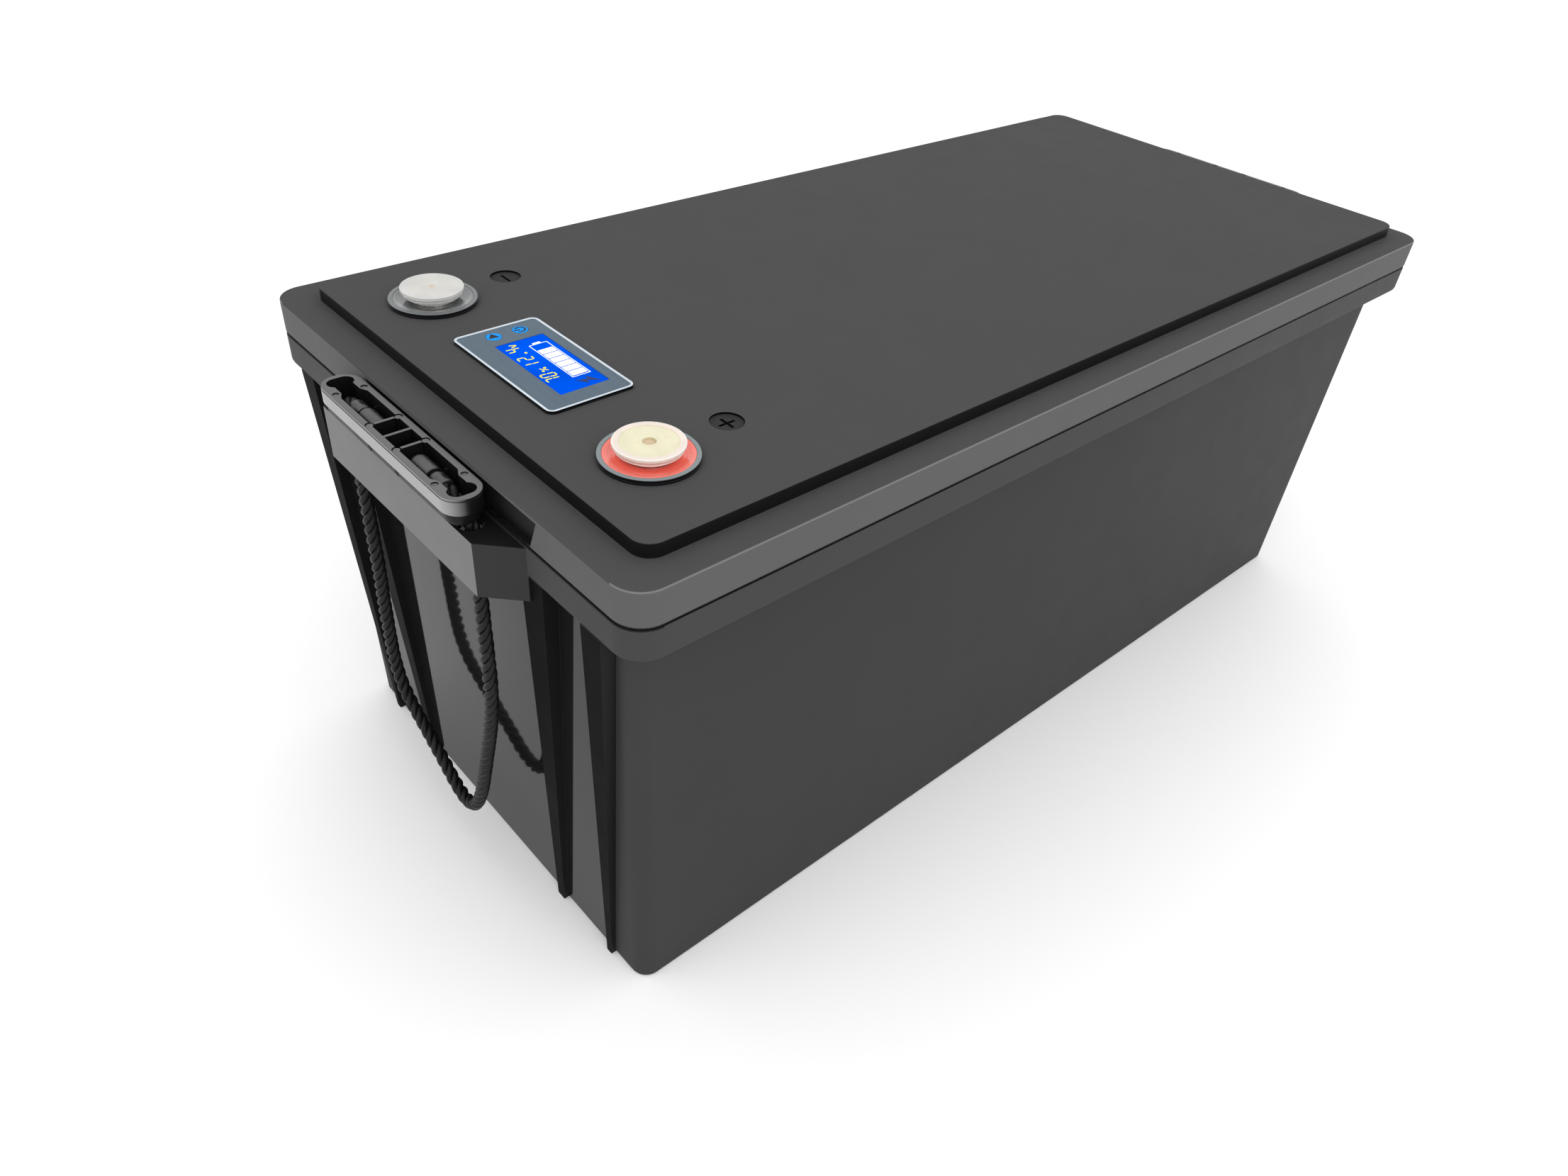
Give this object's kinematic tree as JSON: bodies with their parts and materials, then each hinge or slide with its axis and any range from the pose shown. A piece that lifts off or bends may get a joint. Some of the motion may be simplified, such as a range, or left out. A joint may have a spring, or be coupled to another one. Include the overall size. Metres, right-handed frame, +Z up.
{
  "type": "deep cycle battery",
  "caption": "Sealed lidded battery case with a flush charge meter, capped screw terminals and sliding rope handles over a prismatic cell pack.",
  "frame": {"origin": "centre of the case's foot, on the surface it stands on", "axes": "+X along the case away from the terminals, +Y towards the negative terminal's side, +Z up"},
  "size_m": [0.5286, 0.24, 0.2163],
  "materials": {
    "case_abs": "satin black-grey ABS with a fine grain",
    "lid_abs": "satin black-grey ABS",
    "black_rubber": "matt",
    "ring_grey": "satin",
    "seal_red": "glossy translucent",
    "seal_grey": "glossy",
    "post_brass": "tinned, satin",
    "nut_steel": "zinc plated",
    "cap_cream": "translucent nylon",
    "cap_white": "translucent nylon",
    "bezel_silver": "satin",
    "fascia_grey": "satin printed film",
    "display_blue": "glossy lit display",
    "housing_black": "matt",
    "board_green": "solder resist",
    "switch_black": "matt",
    "button_blue": "satin",
    "grip_grey": "satin moulded polypropylene",
    "rope_black": "twisted synthetic rope",
    "ferrule_grey": "dull plated",
    "cell_blue": "shrink-wrapped aluminium can",
    "cell_post": "machined",
    "epoxy_sheet": "glass epoxy",
    "copper": "bright copper",
    "foam_black": "closed-cell foam",
    "plate_aluminium": "mill finish",
    "band_green": "polyester strap",
    "connector_white": "moulded nylon",
    "ribbon_red": "flat cable",
    "bar_red": "sleeved copper bar",
    "bar_black": "sleeved copper bar"
  },
  "bodies": {
    "battery": {"container": "case_abs", "lid": "lid_abs", "lid_seal": "black_rubber", "positive_gasket": "black_rubber", "positive_ring": "ring_grey", "positive_seal": "seal_red", "positive_post": "post_brass", "positive_nut": "nut_steel", "negative_gasket": "black_rubber", "negative_ring": "ring_grey", "negative_seal": "seal_grey", "negative_post": "post_brass", "negative_nut": "nut_steel", "meter_gasket": "black_rubber", "meter_bezel": "bezel_silver", "meter_fascia": "fascia_grey", "meter_display": "display_blue", "meter_housing": "housing_black", "meter_board": "board_green", "meter_switches": "switch_black", "cell_1": "cell_blue", "cell_2": "cell_blue", "cell_3": "cell_blue", "cell_4": "cell_blue", "cell_posts": "cell_post", "cell_divider": "epoxy_sheet", "link_near": "copper", "link_far": "copper", "link_cross": "copper", "link_nuts": "nut_steel", "base_pad": "foam_black", "end_plates": "plate_aluminium", "cell_bands": "band_green", "side_foam": "foam_black", "end_foam": "foam_black", "top_sheet": "epoxy_sheet", "bms_board": "board_green", "bms_standoffs": "post_brass", "bms_screws": "nut_steel", "bms_switches": "switch_black", "bms_heatsink": "plate_aluminium", "bms_connector": "connector_white", "balance_ribbon": "ribbon_red", "positive_bar": "bar_red", "negative_cell_bar": "bar_black", "negative_terminal_bar": "bar_black"},
    "near_handle": {"near_grip": "grip_grey", "near_rope": "rope_black", "near_ferrules": "ferrule_grey"},
    "far_handle": {"far_grip": "grip_grey", "far_rope": "rope_black", "far_ferrules": "ferrule_grey"},
    "positive_cap_body": {"positive_cap": "cap_cream"},
    "negative_cap_body": {"negative_cap": "cap_white"},
    "power_button": {"meter_power_button": "button_blue"},
    "arrow_button": {"meter_arrow_button": "button_blue"}
  },
  "joints": [
    {"name": "near_handle_lift", "type": "slide", "parent": "battery", "child": "near_handle", "axis": [0, 0, 1], "range_m": [0, 0.055]},
    {"name": "far_handle_lift", "type": "slide", "parent": "battery", "child": "far_handle", "axis": [0, 0, 1], "range_m": [0, 0.055]},
    {"name": "positive_cap_lift", "type": "slide", "parent": "battery", "child": "positive_cap_body", "axis": [0, 0, 1], "range_m": [0, 0.03]},
    {"name": "negative_cap_lift", "type": "slide", "parent": "battery", "child": "negative_cap_body", "axis": [0, 0, 1], "range_m": [0, 0.03]},
    {"name": "power_button_press", "type": "slide", "parent": "battery", "child": "power_button", "axis": [0, 0, -1], "range_m": [0, 0.0004], "stiffness_N_per_m": 400, "springref_m": -0.001},
    {"name": "arrow_button_press", "type": "slide", "parent": "battery", "child": "arrow_button", "axis": [0, 0, -1], "range_m": [0, 0.0004], "stiffness_N_per_m": 400, "springref_m": -0.001}
  ]
}
